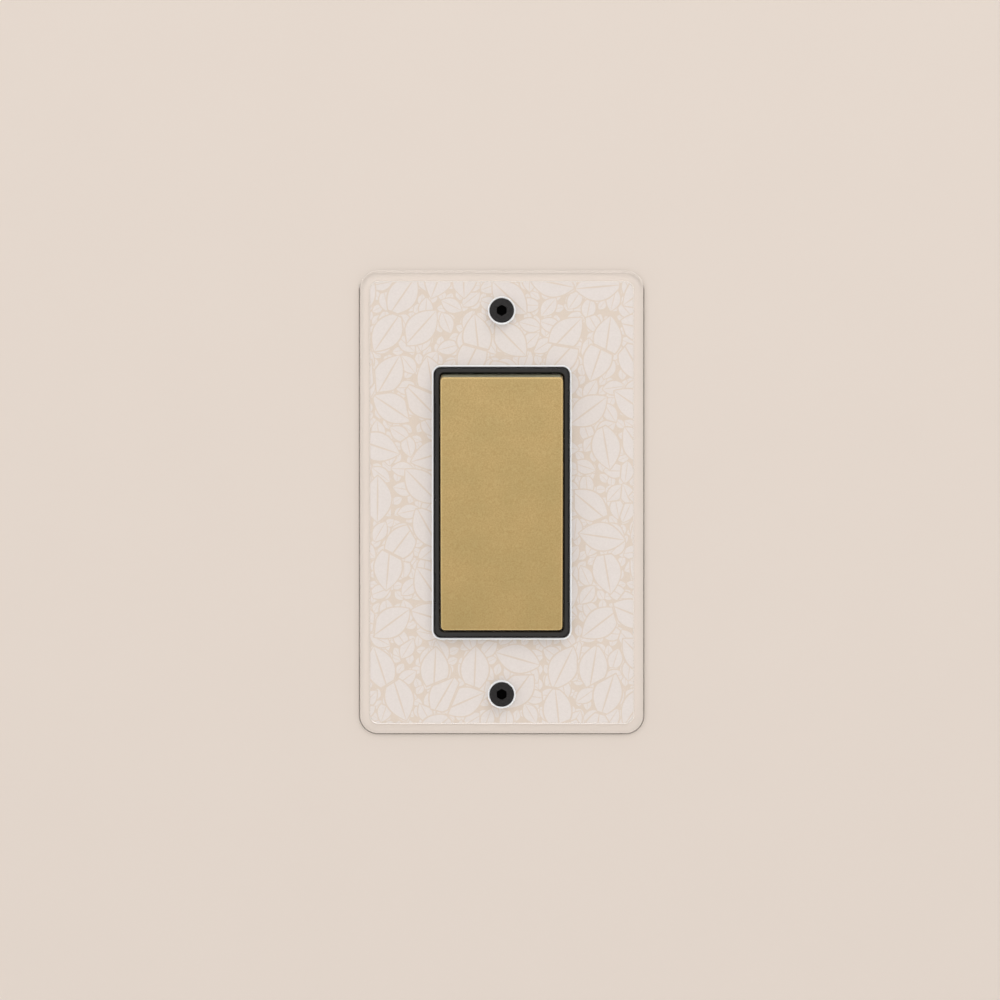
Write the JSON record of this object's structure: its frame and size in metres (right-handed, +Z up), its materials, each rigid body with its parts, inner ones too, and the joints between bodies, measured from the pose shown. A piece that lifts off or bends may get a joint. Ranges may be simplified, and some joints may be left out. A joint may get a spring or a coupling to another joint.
{
  "type": "retractive rocker switch",
  "caption": "Momentary rocker wall switch for a one-gang box: clear acrylic cover plate, black surround and a satin brass rocker that springs back out when released.",
  "frame": {"origin": "the middle of the cover plate's back, on the wall plane", "axes": "+X right, +Z up, +Y into the wall; the rocker faces -Y"},
  "size_m": [0.072, 0.0345, 0.117],
  "materials": {
    "clear_acrylic": "polished clear cast acrylic",
    "black_moulding": "fine matt black moulded polycarbonate",
    "grey_moulding": "matt dark grey moulded urea",
    "satin_brass": "satin, brushed to a fine grain, clear lacquer",
    "plain_brass": "bright rolled",
    "black_steel": "black oxide",
    "zinc_steel": "bright zinc plate",
    "spring_steel": "drawn wire, oiled",
    "ground_steel": "green dyed zinc plate",
    "silver": "satin silver alloy",
    "white_paper": "matt, warm off-white",
    "soft_rubber": "matt"
  },
  "bodies": {
    "switch_body": {"clear_plate": "clear_acrylic", "plate_screw_upper": "black_steel", "plate_screw_lower": "black_steel", "paper_insert": "white_paper", "frame": "black_moulding", "strap": "zinc_steel", "box_screw_upper": "zinc_steel", "box_screw_lower": "zinc_steel", "ground_screw": "ground_steel", "housing": "grey_moulding", "rear_cover": "grey_moulding", "rest_stop_pad": "soft_rubber", "press_stop_pad": "soft_rubber", "return_spring": "spring_steel", "plunger_spring": "spring_steel", "fixed_contact_left": "silver", "fixed_contact_right": "silver", "terminal_left": "plain_brass", "terminal_right": "plain_brass", "clamp_plate_left": "plain_brass", "clamp_plate_right": "plain_brass", "terminal_screw_left": "plain_brass", "terminal_screw_right": "plain_brass", "cover_screw_upper_left": "zinc_steel", "cover_screw_upper_right": "zinc_steel", "cover_screw_lower_left": "zinc_steel", "cover_screw_lower_right": "zinc_steel"},
    "rocker": {"rocker_cap": "satin_brass", "rocker_carrier": "black_moulding", "pivot_pin": "zinc_steel"},
    "plunger_stack": {"plunger": "grey_moulding", "retaining_clip": "spring_steel", "contact_spring": "spring_steel", "contact_bridge": "plain_brass", "moving_contact_left": "silver", "moving_contact_right": "silver"}
  },
  "joints": [
    {"name": "rocker_pivot", "type": "hinge", "parent": "switch_body", "child": "rocker", "pos_m": [0, -0.0029, 0], "axis": [-1, 0, 0], "range_deg": [0, 10], "stiffness_Nm_per_rad": 0.36, "springref_deg": -8.02, "deforming": ["return_spring"]},
    {"name": "plunger_slide", "type": "slide", "parent": "switch_body", "child": "plunger_stack", "axis": [0, 1, 0], "range_m": [0, 0.0014], "deforming": ["plunger_spring"]}
  ],
  "couplings": [
    {"joint": "plunger_slide", "follows": "rocker_pivot", "m_per_rad": 0.00799}
  ]
}
